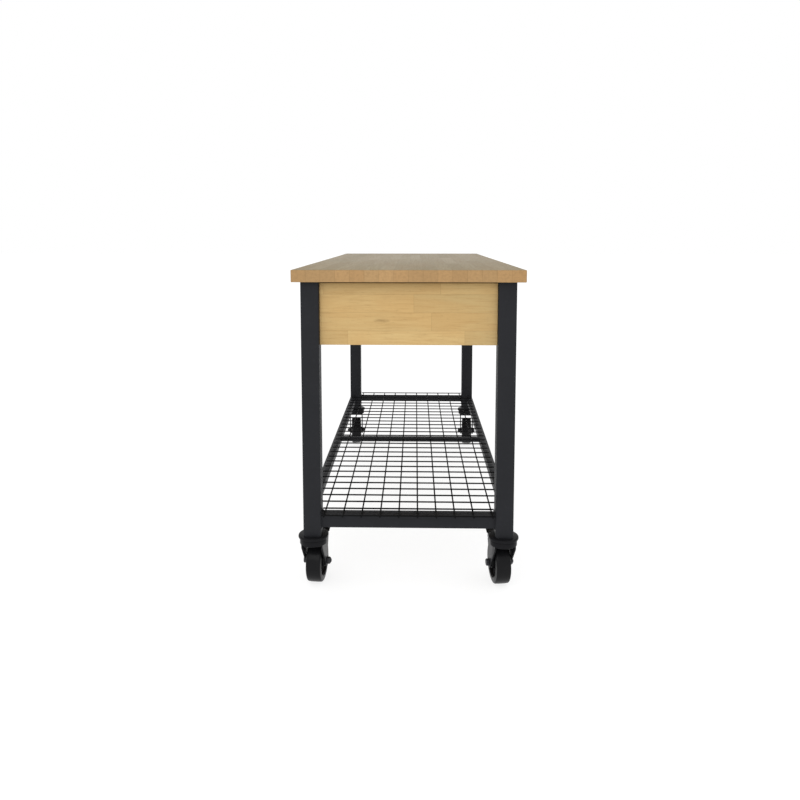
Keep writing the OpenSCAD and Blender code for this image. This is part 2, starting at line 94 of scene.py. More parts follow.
class WoodSettings(bpy.types.PropertyGroup):
    stave_width: FloatProperty(
        name="Stave width", description="Width of one stave of the worktop",
        default=0.0381, min=0.02, max=0.08, unit="LENGTH")
    stave_length: FloatProperty(
        name="Stave length", description="Usual length of one stave of the worktop",
        default=0.52, min=0.2, max=1.5, unit="LENGTH")
    strip_height: FloatProperty(
        name="Strip height", description="Height of one glued strip of an apron",
        default=0.0485, min=0.02, max=0.1, unit="LENGTH")
    strip_length: FloatProperty(
        name="Strip length", description="Usual length of the pieces in an apron strip",
        default=0.31, min=0.1, max=0.8, unit="LENGTH")
    worktop_round: FloatProperty(
        name="Worktop edge", description="Radius of the worktop's softened edges",
        default=0.0018, min=0.0005, max=0.006, unit="LENGTH")
    apron_round: FloatProperty(
        name="Apron edge", description="Radius of the aprons' softened edges",
        default=0.0012, min=0.0003, max=0.004, unit="LENGTH")
    worktop_colour: FloatVectorProperty(
        name="Worktop colour", description="Main colour of the worktop's wood",
        default=(0.230, 0.176, 0.076), subtype="COLOR", min=0, max=1)
    end_colour: FloatVectorProperty(
        name="End grain colour", description="Colour of the end grain on the worktop's ends",
        default=(0.43, 0.270, 0.124), subtype="COLOR", min=0, max=1)
    apron_colour: FloatVectorProperty(
        name="Apron colour", description="Main colour of the aprons' wood",
        default=(0.54, 0.388, 0.176), subtype="COLOR", min=0, max=1)


class SteelSettings(bpy.types.PropertyGroup):
    leg_round: FloatProperty(
        name="Leg corner", description="Corner radius of the leg tube",
        default=0.003, min=0.0005, max=0.006, unit="LENGTH")
    tube_round: FloatProperty(
        name="Shelf tube corner", description="Corner radius of the shelf's tubes",
        default=0.002, min=0.0005, max=0.005, unit="LENGTH")
    tube_wall: FloatProperty(
        name="Tube wall", description="Wall of the leg tube, seen at its open ends",
        default=0.002, min=0.001, max=0.004, unit="LENGTH")
    wire_coating: FloatProperty(
        name="Wire coating", description="Thickness of the coating on the shelf wires",
        default=0.0004, min=0.0, max=0.001, unit="LENGTH")
    weld_size: FloatProperty(
        name="Weld size", description="Leg length of the fillet welds",
        default=0.0022, min=0.001, max=0.005, unit="LENGTH")
    coat_colour: FloatVectorProperty(
        name="Coating colour", description="Colour of the powder coat",
        default=(0.0165, 0.0172, 0.0198), subtype="COLOR", min=0, max=1)
    wire_colour: FloatVectorProperty(
        name="Wire colour", description="Colour of the coated shelf wires",
        default=(0.005, 0.005, 0.0055), subtype="COLOR", min=0, max=1)


class CasterSettings(bpy.types.PropertyGroup):
    sheet: FloatProperty(
        name="Fork sheet", description="Thickness of the pressed fork",
        default=0.004, min=0.0015, max=0.005, unit="LENGTH")
    bend: FloatProperty(
        name="Fork bend", description="Outer radius where a fork arm bends down from the crown",
        default=0.008, min=0.004, max=0.012, unit="LENGTH")
    ribs: IntProperty(
        name="Hub ribs", description="Number of ribs on each face of a wheel",
        default=10, min=4, max=16)
    steps: IntProperty(
        name="Turning steps", description="Facets round a turned piece",
        default=72, min=24, max=128)
    gloss_colour: FloatVectorProperty(
        name="Caster colour", description="Colour of the casters' steel",
        default=(0.0105, 0.0105, 0.0118), subtype="COLOR", min=0, max=1)
    plastic_colour: FloatVectorProperty(
        name="Hub colour", description="Colour of the hubs and the pedals",
        default=(0.006, 0.006, 0.0068), subtype="COLOR", min=0, max=1)
    tyre_colour: FloatVectorProperty(
        name="Tyre colour", description="Colour of the tyres",
        default=(0.008, 0.008, 0.0088), subtype="COLOR", min=0, max=1)


class StageSettings(bpy.types.PropertyGroup):
    floor_size: FloatProperty(
        name="Floor size", description="Side of the floor", default=60.0, min=4.0, unit="LENGTH")
    camera_height: FloatProperty(
        name="Camera height", description="Height of the camera above the floor",
        default=0.973, min=0.1, max=5.0, unit="LENGTH")
    camera_distance: FloatProperty(
        name="Camera distance", description="Distance from the camera to the worktop's near end",
        default=1.8105, min=0.5, max=10.0, unit="LENGTH")
    camera_aside: FloatProperty(
        name="Camera offset", description="How far the camera stands to the right of the middle",
        default=0.0178, min=-2.0, max=2.0, unit="LENGTH")
    camera_down: FloatProperty(
        name="Camera tilt", description="Tilt of the camera below the horizon",
        default=math.radians(5.553), subtype="ANGLE")
    camera_turn: FloatProperty(
        name="Camera turn", description="Turn of the camera to the left",
        default=math.radians(1.242), subtype="ANGLE")
    key_power: FloatProperty(
        name="Key light", description="Power of the softbox above the camera",
        default=20.0, min=0.0, unit="POWER")
    floor_glow: FloatProperty(
        name="Floor glow", description="Light from the floor, which keeps it pale under the table",
        default=0.80, min=0.0, max=2.0)
    sky: FloatProperty(
        name="Surround", description="Strength of the white surround", default=1.0, min=0.0, max=4.0)


# Modelling by hand: primitives, edit mode and modifiers


def activate(obj):
    bpy.ops.object.select_all(action="DESELECT")
    obj.select_set(True)
    bpy.context.view_layer.objects.active = obj


def settle(obj):
    """Puts the object's place into its mesh, so that the object is at the origin."""
    activate(obj)
    bpy.ops.object.transform_apply(location=True, rotation=True, scale=True)


def begin_edit(obj):
    activate(obj)
    bpy.ops.object.mode_set(mode="EDIT")


def end_edit():
    bpy.ops.object.mode_set(mode="OBJECT")


def block(name, low, high):
    """A box between two corners."""
    low, high = Vector(low), Vector(high)
    bpy.ops.object.select_all(action="DESELECT")
    bpy.ops.mesh.primitive_cube_add(size=1, location=(low + high) / 2, scale=high - low)
    obj = bpy.context.object
    obj.name = name
    settle(obj)
    return obj


def rod(name, start, end, radius, sides):
    """A cylinder from one point to another."""
    start, end = Vector(start), Vector(end)
    axis = end - start
    bpy.ops.object.select_all(action="DESELECT")
    bpy.ops.mesh.primitive_cylinder_add(
        vertices=sides, radius=radius, depth=axis.length, location=(start + end) / 2,
        rotation=axis.to_track_quat("Z", "X").to_euler())
    obj = bpy.context.object
    obj.name = name
    settle(obj)
    return obj


def pick_faces(obj, test):
    """In edit mode: selects only the faces whose middle and normal pass the test."""
    bpy.ops.mesh.select_mode(type="FACE")
    bpy.ops.mesh.select_all(action="DESELECT")
    mesh = bmesh.from_edit_mesh(obj.data)
    for face in mesh.faces:
        face.select_set(bool(test(face.calc_center_median(), face.normal)))
    bmesh.update_edit_mesh(obj.data)


def pick_edges(obj, test):
    """In edit mode: selects only the edges whose two ends pass the test."""
    bpy.ops.mesh.select_mode(type="EDGE")
    bpy.ops.mesh.select_all(action="DESELECT")
    mesh = bmesh.from_edit_mesh(obj.data)
    for edge in mesh.edges:
        edge.select_set(bool(test(edge.verts[0].co, edge.verts[1].co)))
    bmesh.update_edit_mesh(obj.data)


def soften(obj, radius, segments, test=None):
    """Rounds the edges that pass the test, or all of them."""
    begin_edit(obj)
    pick_edges(obj, test or (lambda a, b: True))
    bpy.ops.mesh.bevel(offset=radius, offset_type="OFFSET", segments=segments, affect="EDGES")
    end_edit()


def soften_sharp(obj, radius, segments, angle):
    """Rounds every edge sharper than the angle with a Bevel modifier."""
    activate(obj)
    modifier = obj.modifiers.new("Bevel", "BEVEL")
    modifier.width = radius
    modifier.segments = segments
    modifier.limit_method = "ANGLE"
    modifier.angle_limit = math.radians(angle)
    modifier.use_clamp_overlap = True
    bpy.ops.object.modifier_apply(modifier=modifier.name)


def carve(obj, cutter, operation):
    """Applies a boolean of obj with the cutter and removes the cutter."""
    activate(obj)
    modifier = obj.modifiers.new("Boolean", "BOOLEAN")
    modifier.operation = operation
    modifier.solver = "EXACT"
    modifier.object = cutter
    bpy.ops.object.modifier_apply(modifier=modifier.name)
    bpy.data.objects.remove(cutter)


def smooth(obj, angle):
    """Shades smooth across the edges flatter than the angle."""
    activate(obj)
    bpy.ops.object.shade_smooth_by_angle(angle=math.radians(angle))


def merge(name, objs):
    """Joins several objects into the first one."""
    bpy.ops.object.select_all(action="DESELECT")
    for obj in objs:
        obj.select_set(True)
    bpy.context.view_layer.objects.active = objs[0]
    bpy.ops.object.join()
    objs[0].name = name
    return objs[0]


def copy_piece(obj, name, matrix):
    """A copy with its own mesh, moved by the matrix."""
    twin = obj.copy()
    twin.data = obj.data.copy()
    twin.data.transform(matrix)
    twin.name = name
    bpy.context.scene.collection.objects.link(twin)
    return twin


def start_point(name, point):
    """In edit mode after this: a mesh of one selected vertex at the point."""
    bpy.ops.object.select_all(action="DESELECT")
    bpy.ops.mesh.primitive_plane_add(size=MM)
    obj = bpy.context.object
    obj.name = name
    obj.data.transform(Matrix.Translation(point))
    begin_edit(obj)
    bpy.ops.mesh.select_mode(type="VERT")
    bpy.ops.mesh.select_all(action="SELECT")
    bpy.ops.mesh.merge(type="CENTER")
    return obj


def trace(name, points):
    """In edit mode after this: a closed outline drawn by extruding one vertex after another."""
    points = [Vector(p) for p in points]
    obj = start_point(name, points[0])
    for here, there in zip(points, points[1:]):
        bpy.ops.mesh.extrude_vertices_move(TRANSFORM_OT_translate={"value": there - here})
    mesh = bmesh.from_edit_mesh(obj.data)
    mesh.edges.new([vertex for vertex in mesh.verts if len(vertex.link_edges) == 1])
    bmesh.update_edit_mesh(obj.data)
    return obj


def clean():
    """In edit mode: closes seams and turns every face outwards."""
    bpy.ops.mesh.select_all(action="SELECT")
    bpy.ops.mesh.remove_doubles(threshold=CLOSE)
    bpy.ops.mesh.normals_make_consistent(inside=False)


def spin_outline(name, points, steps, axis):
    """Spins an outline of points round an axis through the origin."""
    obj = trace(name, points)
    bpy.ops.mesh.select_all(action="SELECT")
    bpy.ops.mesh.spin(steps=steps, angle=math.tau, center=(0, 0, 0), axis=axis)
    clean()
    end_edit()
    return obj


def turned(name, outline, steps, across, height):
    """Spins an outline of (x, radius) points about a line along X at that y and height."""
    obj = spin_outline(name, [(x, radius, 0) for x, radius in outline], steps, (1, 0, 0))
    obj.data.transform(Matrix.Translation((0, across, height)))
    return obj


def turned_upright(name, outline, steps):
    """Spins an outline of (radius, z) points about Z."""
    return spin_outline(name, [(radius, 0, z) for radius, z in outline], steps, (0, 0, 1))


def extrude_outline(name, points, reach):
    """Fills a flat outline of points and extrudes it as far as reach."""
    obj = trace(name, points)
    bpy.ops.mesh.select_all(action="SELECT")
    bpy.ops.mesh.edge_face_add()
    bpy.ops.mesh.extrude_region_move(TRANSFORM_OT_translate={"value": reach})
    clean()
    end_edit()
    return obj


def plate(name, outline, x_low, x_high):
    """A flat plate: an outline of (y, z) points, extruded along X."""
    return extrude_outline(name, [(x_low, y, z) for y, z in outline], (x_high - x_low, 0, 0))


def bar(name, outline, y_low, y_high):
    """A straight bar: an outline of (x, z) points, extruded along Y."""
    return extrude_outline(name, [(x, y_low, z) for x, z in outline], (0, y_high - y_low, 0))


def mirrored(outline):
    """An outline of (x, radius) points, carried on by its mirror image across x = 0."""
    return outline + [(-x, radius) for x, radius in reversed(outline)]


def drill(obj, y, z, radius, sides):
    """Drills a hole along X right through a piece."""
    carve(obj, rod("hole", (-CUT_REACH, y, z), (CUT_REACH, y, z), radius, sides), "DIFFERENCE")


def arc(centre, radius, start, end, count):
    """Points along an arc, with angles in degrees."""
    angles = [math.radians(start + (end - start) * i / count) for i in range(count + 1)]
    return [(centre[0] + radius * math.cos(a), centre[1] + radius * math.sin(a)) for a in angles]


def finish_piece(obj, finish, slot, body, *nodes):
    """Gives a finished piece its material, its body and the nodes that it stands for; the slot is not
    used.
    """
    obj.data.materials.clear()
    obj.data.materials.append(finish)
    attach(obj, body)
    if nodes:
        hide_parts(*nodes)
    return obj


# Materials


class Signal:
    """One output socket of a material. Arithmetic on it adds Math nodes."""

    def __init__(self, paint, socket):
        self.paint = paint
        self.socket = socket

    def math(self, operation, *others):
        sockets = dict(enumerate((self,) + others))
        return self.paint.add("ShaderNodeMath", {"operation": operation}, sockets)

    def __add__(self, other):
        return self.math("ADD", other)

    __radd__ = __add__

    def __mul__(self, other):
        return self.math("MULTIPLY", other)

    __rmul__ = __mul__

    def __sub__(self, other):
        return self.math("SUBTRACT", other)

    def __rsub__(self, other):
        return self.paint.add("ShaderNodeMath", {"operation": "SUBTRACT"}, {0: other, 1: self})

    def __truediv__(self, other):
        return self.math("DIVIDE", other)

    def __pow__(self, other):
        return self.math("POWER", other)

    def floor(self):
        return self.math("FLOOR")

    def fract(self):
        return self.math("FRACT")

    def abs(self):
        return self.math("ABSOLUTE")

    def sin(self):
        return self.math("SINE")

    def least(self, other):
        return self.math("MINIMUM", other)

    def step(self, low, high):
        """0 below low, 1 above high, smooth between. low may be the larger."""
        return self.paint.add(
            "ShaderNodeMapRange", {"interpolation_type": "SMOOTHSTEP"},
            {"Value": self, "From Min": low, "From Max": high, "To Min": 0.0, "To Max": 1.0})


class Paint:
    """A material that is built from nodes."""

    def __init__(self, name):
        self.material = bpy.data.materials.new(name)
        self.material.use_nodes = True
        self.tree = self.material.node_tree
        self.tree.nodes.clear()

    def add(self, kind, settings=None, inputs=None, output=0):
        node = self.tree.nodes.new(kind)
        for key, value in (settings or {}).items():
            setattr(node, key, value)
        for key, value in (inputs or {}).items():
            self.feed(node.inputs[key], value)
        return Signal(self, node.outputs[output])

    def feed(self, socket, value):
        if isinstance(value, Signal):
            self.tree.links.new(value.socket, socket)
        else:
            socket.default_value = value

    def place(self):
        """The x, y and z of a point on the piece, in metres."""
        where = self.add("ShaderNodeTexCoord", output="Object")
        node = self.add("ShaderNodeSeparateXYZ", {}, {0: where}).socket.node
        return tuple(Signal(self, node.outputs[i]) for i in range(3))

    def facing(self):
        """The x, y and z of the surface's direction."""
        where = self.add("ShaderNodeTexCoord", output="Normal")
        node = self.add("ShaderNodeSeparateXYZ", {}, {0: where}).socket.node
        return tuple(Signal(self, node.outputs[i]) for i in range(3))

    def vector(self, x, y, z):
        return self.add("ShaderNodeCombineXYZ", {}, {0: x, 1: y, 2: z})

    def noise(self, vector, scale, detail=3.0, roughness=0.5, distortion=0.0):
        return self.add(
            "ShaderNodeTexNoise", {},
            {"Vector": vector, "Scale": scale, "Detail": detail, "Roughness": roughness,
             "Distortion": distortion})

    def chance(self, vector):
        """A random number that is the same all over one cell."""
        return self.add("ShaderNodeTexWhiteNoise", {"noise_dimensions": "3D"}, {"Vector": vector})

    def blend(self, factor, low, high):
        """Mixes two colours."""
        low, high = (tuple(c) + (1,) if not isinstance(c, Signal) else c for c in (low, high))
        return self.add(
            "ShaderNodeMix", {"data_type": "RGBA"}, {0: factor, 6: low, 7: high}, output=2)

    def bump(self, height, distance, strength=1.0):
        return self.add(
            "ShaderNodeBump", {}, {"Height": height, "Distance": distance, "Strength": strength})

    def done(self, **sockets):
        """Ends the material in a Principled shader. A socket's name has _ for its spaces."""
        inputs = {key.replace("_", " "): value for key, value in sockets.items()}
        shader = self.add("ShaderNodeBsdfPrincipled", {}, inputs)
        end = self.tree.nodes.new("ShaderNodeOutputMaterial")
        self.tree.links.new(shader.socket, end.inputs[0])
        return self.material


def tint(colour, factor):
    """A lighter or darker colour."""
    return tuple(min(1.0, c * factor) for c in colour)


def shade(colour, factors):
    """A colour with a factor of its own for each channel."""
    return tuple(c * f for c, f in zip(colour, factors))


def wood(name, along, across, width, length, shift, colour, end_colour, gloss, knot_at):
    """Glued wood: strips of a width and about a length, with end grain and one small knot."""
    paint = Paint(name)
    point = dict(zip("xyz", paint.place()))
    face = dict(zip("xyz", paint.facing()))
    third = next(a for a in "xyz" if a not in (along, across))
    u, v, w = point[along], point[across], point[third]

    row = v / width + shift
    row_index = row.floor()
    row_chance = paint.chance(paint.vector(row_index, 3.7, 1.3))
    column = u / length + row_chance * 17.3
    column_index = column.floor()
    piece = paint.chance(paint.vector(row_index, column_index, 9.1))
    other = paint.chance(paint.vector(column_index, row_index, 4.4))

    row_edge = (0.5 - (row.fract() - 0.5).abs()) * width
    column_edge = (0.5 - (column.fract() - 0.5).abs()) * length
    seam = row_edge.least(column_edge).step(0.0006, 0.0001)

    # Long grain: broad figure, streaks, fibres and pores
    drift = piece * 31.0
    figure = paint.noise(paint.vector(v + drift, u * 0.10 + drift, w + drift), 26.0, 3.0, 0.55, 0.6)
    rings = ((figure * 34.0 + v * 260.0 * other).sin() * 0.5 + 0.5)
    streak = paint.noise(paint.vector(v + drift, u * 0.045, w + drift), 240.0, 4.0, 0.6)
    fibre = paint.noise(paint.vector(v + drift, u * 0.02, w + drift), 1500.0, 2.0, 0.5)
    pore = paint.noise(paint.vector(v, u * 0.06 + drift, w), 1100.0, 1.0, 0.4).step(0.66, 0.74)
    knot_u, knot_v = (u - knot_at[0]) / 0.026, (v - knot_at[1]) / 0.008
    ragged = paint.noise(paint.vector(u * 0.4, v, w), 90.0, 3.0, 0.6)
    knot = ((knot_u * knot_u + knot_v * knot_v) ** 0.5 + ragged * 1.6).step(1.8, 0.8)

    # End grain: arcs of growth rings round a heart below or above each strip
    heart_v = (row.fract() - 0.5 + (piece - 0.5) * 1.6) * width
    heart_w = w + (other - 0.5) * 0.12
    ring_r = (heart_v * heart_v + heart_w * heart_w) ** 0.5
    wobble = paint.noise(paint.vector(v, w, piece * 7.0), 60.0, 2.0)
    end_rings = ((ring_r * 1700.0 + wobble * 9.0).sin() * 0.5 + 0.5)
    end_dots = paint.noise(paint.vector(v, w, drift), 1800.0, 2.0, 0.6)
    is_end = face[along].abs().step(0.55, 0.75)

    # Slow changes of tone that run on across the joints
    cloud = paint.noise(paint.vector(u * 0.45, v, w), 11.0, 2.0, 0.5).step(0.36, 0.68)
    mottle = paint.noise(paint.vector(u, v, w), 130.0, 3.0, 0.6).step(0.40, 0.68)

    light, dark = tint(colour, 1.09), tint(colour, 0.90)
    warm = shade(colour, (1.02, 0.86, 0.72))
    base = paint.blend(piece, dark, light)
    base = paint.blend(other * 0.22 + cloud * 0.34, base, warm)
    base = paint.blend(rings * 0.26, base, tint(warm, 0.84))
    base = paint.blend(streak.step(0.48, 0.70) * 0.46, base, tint(warm, 0.72))
    base = paint.blend(fibre.step(0.45, 0.75) * 0.22, base, tint(colour, 1.26))
    base = paint.blend(pore * 0.38, base, tint(warm, 0.42))
    base = paint.blend(knot * 0.60, base, tint(warm, 0.45))
    end = paint.blend(piece, tint(end_colour, 0.90), tint(end_colour, 1.10))
    end = paint.blend(other * 0.30, end, shade(end_colour, (1.04, 0.86, 0.70)))
    end = paint.blend(end_rings * 0.26, end, tint(end_colour, 0.68))
    end = paint.blend(mottle * 0.34, end, tint(end_colour, 0.62))
    end = paint.blend(end_dots.step(0.5, 0.7) * 0.26, end, tint(end_colour, 0.62))
    base = paint.blend(is_end, base, end)
    base = paint.blend(seam * 0.40, base, tint(warm, 0.38))

    relief = streak * 0.4 + fibre * 0.3 - pore * 0.6 - seam * 1.2
    rough = gloss + streak * 0.16 + is_end * 0.12 - piece * 0.04
    return paint.done(
        Base_Color=base, Roughness=rough, Specular_IOR_Level=0.13,
        Normal=paint.bump(relief, 0.00022, 0.55))


def coated(name, colour, gloss, texture, shine):
    """Powder-coated steel: fine orange peel, faint dust and slightly polished patches."""
    paint = Paint(name)
    where = paint.vector(*paint.place())
    peel = paint.noise(where, texture, 2.0, 0.55)
    patch = paint.noise(where, 14.0, 3.0, 0.6)
    dust = paint.noise(where, 90.0, 4.0, 0.65).step(0.48, 0.75)
    base = paint.blend(patch, tint(colour, 0.86), tint(colour, 1.15))
    base = paint.blend(dust * 0.14, base, tint(colour, 2.1))
    rough = gloss + patch * 0.10 + dust * 0.06
    return paint.done(
        Base_Color=base, Roughness=rough, Specular_IOR_Level=shine,
        Normal=paint.bump(peel, 0.00012, 0.45))


def moulded(name, colour, gloss, texture, coat, shine):
    """Moulded plastic or rubber with a faint mould texture."""
    paint = Paint(name)
    where = paint.vector(*paint.place())
    grain = paint.noise(where, texture, 3.0, 0.6)
    patch = paint.noise(where, 30.0, 3.0, 0.6)
    scuff = paint.noise(where, 160.0, 5.0, 0.7).step(0.52, 0.78)
    base = paint.blend(patch, tint(colour, 0.85), tint(colour, 1.2))
    base = paint.blend(scuff * 0.18, base, tint(colour, 2.4))
    rough = gloss + patch * 0.08 + scuff * 0.12
    return paint.done(
        Base_Color=base, Roughness=rough, Specular_IOR_Level=shine,
        Coat_Weight=coat, Coat_Roughness=0.12, Normal=paint.bump(grain, 0.00008, 0.35))


def plated(name, colour, gloss):
    """Bright zinc plate with a fine brushed grain."""
    paint = Paint(name)
    x, y, z = paint.place()
    brushed = paint.noise(paint.vector(x * 0.2, y * 0.2, z), 2600.0, 2.0, 0.6)
    patch = paint.noise(paint.vector(x, y, z), 120.0, 3.0, 0.6)
    base = paint.blend(patch, tint(colour, 0.82), tint(colour, 1.08))
    rough = gloss + patch * 0.14 + brushed * 0.05
    return paint.done(
        Base_Color=base, Roughness=rough, Metallic=1.0,
        Normal=paint.bump(brushed, 0.00004, 0.3))


def finish_of(name):
    """The material of that name, made the first time it is asked for."""
    if name in FINISHES:
        return FINISHES[name]
    scene = bpy.context.scene
    woods, steel, caster = scene.table_wood, scene.table_steel, scene.table_casters
    makers = {
        "glued_staves": lambda: wood(
            name, "y", "x", woods.stave_width, woods.stave_length, 0.0, woods.worktop_colour,
            woods.end_colour, 0.34, (0.31, 0.118)),
        "end_apron_wood": lambda: wood(
            name, "x", "z", woods.strip_height, woods.strip_length, 0.237, woods.apron_colour,
            tint(woods.apron_colour, 0.7), 0.40, (-0.072, 0.744)),
        "side_apron_wood": lambda: wood(
            name, "y", "z", woods.strip_height, woods.strip_length, 0.237, woods.apron_colour,
            tint(woods.apron_colour, 0.7), 0.40, (0.35, 0.792)),
        "powder_coat": lambda: coated(name, steel.coat_colour, 0.42, 1500.0, 0.11),
        "wire_coat": lambda: coated(name, steel.wire_colour, 0.40, 2200.0, 0.05),
        "caster_coat": lambda: coated(name, caster.gloss_colour, 0.26, 2600.0, 0.05),
        "gloss_moulding": lambda: moulded(name, caster.plastic_colour, 0.22, 900.0, 0.04, 0.08),
        "rolled_rubber": lambda: moulded(name, caster.tyre_colour, 0.28, 1400.0, 0.03, 0.08),
        "zinc_plate": lambda: plated(name, (0.56, 0.56, 0.58), 0.22),
        "dark_plate": lambda: plated(name, (0.050, 0.050, 0.054), 0.34),
    }
    FINISHES[name] = makers[name]()
    return FINISHES[name]


# Places worked out from the frame


def caster_place(corner):
    """Moves the caster's own frame (stem on Z, axle along X, trail along +Y) to its corner."""
    swivel, roll = JOINTS["swivel_" + corner], JOINTS["roll_" + corner]
    x, y, _ = swivel["pos_m"]
    turn = math.atan2(roll["axis"][1], roll["axis"][0])
    return Matrix.Translation((x, y, 0)) @ Matrix.Rotation(turn, 4, "Z")


def caster_sizes():
    """The sizes of one caster in its own frame, from the near left one."""
    corner = CORNERS[0]
    home = caster_place(corner).inverted()
    sizes = {}
    for part in ("caster_head", "fork", "wheel_hub", "tyre", "axle_bolt", "axle_sleeve",
                 "brake_pedal", "pedal_pin"):
        mesh = frame["nodes"][part + "_" + corner].data
        points = [home @ v.co for v in mesh.vertices]
        low = Vector(min(p[i] for p in points) for i in range(3))
        high = Vector(max(p[i] for p in points) for i in range(3))
        sizes[part] = (low, high)
    swivel = Vector(JOINTS["swivel_" + corner]["pos_m"])
    roll = Vector(JOINTS["roll_" + corner]["pos_m"])
    brake = Vector(JOINTS["brake_" + corner]["pos_m"])
    sizes["trail"] = (roll - swivel).xy.length
    sizes["axle"] = roll.z
    sizes["crown_top"] = sizes["fork"][1].z
    sizes["crown_bottom"] = sizes["crown_top"] - CROWN_SHEET
    sizes["arm_half"] = sizes["pedal_pin"][1].x - PIN_OVERHANG
    sizes["pin_back"] = (brake - swivel).xy.length
    sizes["pin_z"] = brake.z
    return sizes


# Wood


class TABLE_OT_worktop(bpy.types.Operator):
    """Build the butcher block worktop"""
    bl_idname = "table.worktop"
    bl_label = "Worktop"

    def execute(self, context):
        settings = context.scene.table_wood
        top = block("butcher_block", *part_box("worktop"))
        soften(top, settings.worktop_round, 4)
        smooth(top, 40)
        finish_piece(top, finish_of("glued_staves"), "worktop_wood", STAND, "worktop")
        return {"FINISHED"}


class TABLE_OT_aprons(bpy.types.Operator):
    """Build the four wood aprons"""
    bl_idname = "table.aprons"
    bl_label = "Aprons"

    def execute(self, context):
        settings = context.scene.table_wood
        for side in ("near", "far", "left", "right"):
            node = "apron_" + side
            board = block(node + "_board", *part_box(node))
            soften(board, settings.apron_round, 3)
            smooth(board, 40)
            grain = "end_apron_wood" if side in ("near", "far") else "side_apron_wood"
            finish_piece(board, finish_of(grain), "apron_wood", STAND, node)
        return {"FINISHED"}


# Steel stand


def tube(name, low, high, axis, radius):
    """A closed square tube with rounded long edges."""
    obj = block(name, low, high)
    along = (Vector(high) - Vector(low))[axis]
    soften(obj, radius, 5, lambda a, b: abs((a - b)[axis]) > along * 0.9)
    return obj


def open_end(obj, test, wall, depth):
    """Hollows the end whose face passes the test, as the end of a cut tube."""
    begin_edit(obj)
    pick_faces(obj, test)
    bpy.ops.mesh.inset(thickness=wall)
    direction = Vector((0, 0, depth))
    bpy.ops.mesh.extrude_region_move(TRANSFORM_OT_translate={"value": direction})
    end_edit()


class TABLE_OT_legs(bpy.types.Operator):
    """Build the four square legs"""
    bl_idname = "table.legs"
    bl_label = "Legs"

    def execute(self, context):
        settings = context.scene.table_steel
        for corner in CORNERS:
            node = "leg_" + corner
            low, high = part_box(node)
            leg = tube("leg_tube_" + corner, low, high, 2, settings.leg_round)
            open_end(leg, lambda middle, normal: normal.z < -0.9, settings.tube_wall, 0.004)
            smooth(leg, 40)
            finish_piece(leg, finish_of("powder_coat"), "leg_steel", STAND, node)
        return {"FINISHED"}


class TABLE_OT_shelf_frame(bpy.types.Operator):
    """Build the square tubes round and across the shelf"""
    bl_idname = "table.shelf_frame"
    bl_label = "Shelf frame"

    def execute(self, context):
        radius = context.scene.table_steel.tube_round
        for side, axis in (("near", 0), ("far", 0), ("mid", 0), ("left", 1), ("right", 1)):
            node = "shelf_rail_" + side
            rail = tube("shelf_tube_" + side, *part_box(node), axis, radius)
            smooth(rail, 40)
            finish_piece(rail, finish_of("powder_coat"), "frame_steel", STAND, node)
        return {"FINISHED"}


def fillet(low, high, axis, toward, size):
    """A fillet weld round the end of a tube, thinning out toward one side along the axis."""
    bead = block("weld", low, high)
    rim = (high if toward > 0 else low)[axis]
    soften(bead, size * 0.92, 3,
           lambda a, b: max(abs(a[axis] - rim), abs(b[axis] - rim)) < CLOSE)
    return bead


class TABLE_OT_welds(bpy.types.Operator):
    """Build the fillet welds where the shelf's tubes meet the legs"""
    bl_idname = "table.welds"
    bl_label = "Welds"

    def execute(self, context):
        size = context.scene.table_steel.weld_size
        beads = []
        for side in ("near", "far"):
            low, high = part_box("shelf_rail_" + side)
            for end in (-1, 1):
                x = high.x if end > 0 else low.x
                first = Vector((min(x, x - end * size), low.y - size * 0.6, low.z - size))
                last = Vector((max(x, x - end * size), high.y + size * 0.6, high.z + size))
                beads.append(fillet(first, last, 0, -end, size))
        for side, out in (("left", -1), ("right", 1)):
            low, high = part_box("shelf_rail_" + side)
            for end in (-1, 1):
                y = high.y if end > 0 else low.y
                inner = -out * size
                first = Vector((low.x + min(inner, 0), min(y, y - end * size), low.z - size))
                last = Vector((high.x + max(inner, 0), max(y, y - end * size), high.z + size))
                beads.append(fillet(first, last, 1, -end, size))
        welds = merge("shelf_welds", beads)
        smooth(welds, 50)
        finish_piece(welds, finish_of("powder_coat"), "frame_steel", STAND)
        return {"FINISHED"}


def wire_lines(node, along):
    """The wires of a node as (place, start, end): place is across them, the others along them."""
    points = sorted((v.co[1 - along], v.co[along]) for v in frame["nodes"][node].data.vertices)
    groups = [[points[0]]]
    for point in points[1:]:
        if point[0] - groups[-1][-1][0] > WIRE_SPACE:
            groups.append([])
        groups[-1].append(point)
    lines = []
    for group in groups:
        ends = [end for _, end in group]
        lines.append(((group[0][0] + group[-1][0]) / 2, min(ends), max(ends)))
    return lines


def wires(name, node, along, coating):
    """All wires of a node with their coating and slightly rounded ends."""
    low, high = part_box(node)
    across = 1 - along
    middle = (high.z + low.z) / 2
    radius = (high.z - low.z) / 2 + coating
    made = []
    for place, first, last in wire_lines(node, along):
        start, end = Vector((0, 0, middle)), Vector((0, 0, middle))
        start[across] = end[across] = place
        start[along], end[along] = first, last
        made.append(rod("wire", start, end, radius, WIRE_SIDES))
    obj = merge(name, made)
    soften(obj, radius * 0.35, 2, lambda a, b: abs((a - b)[along]) < CLOSE)
    smooth(obj, 40)
    return obj


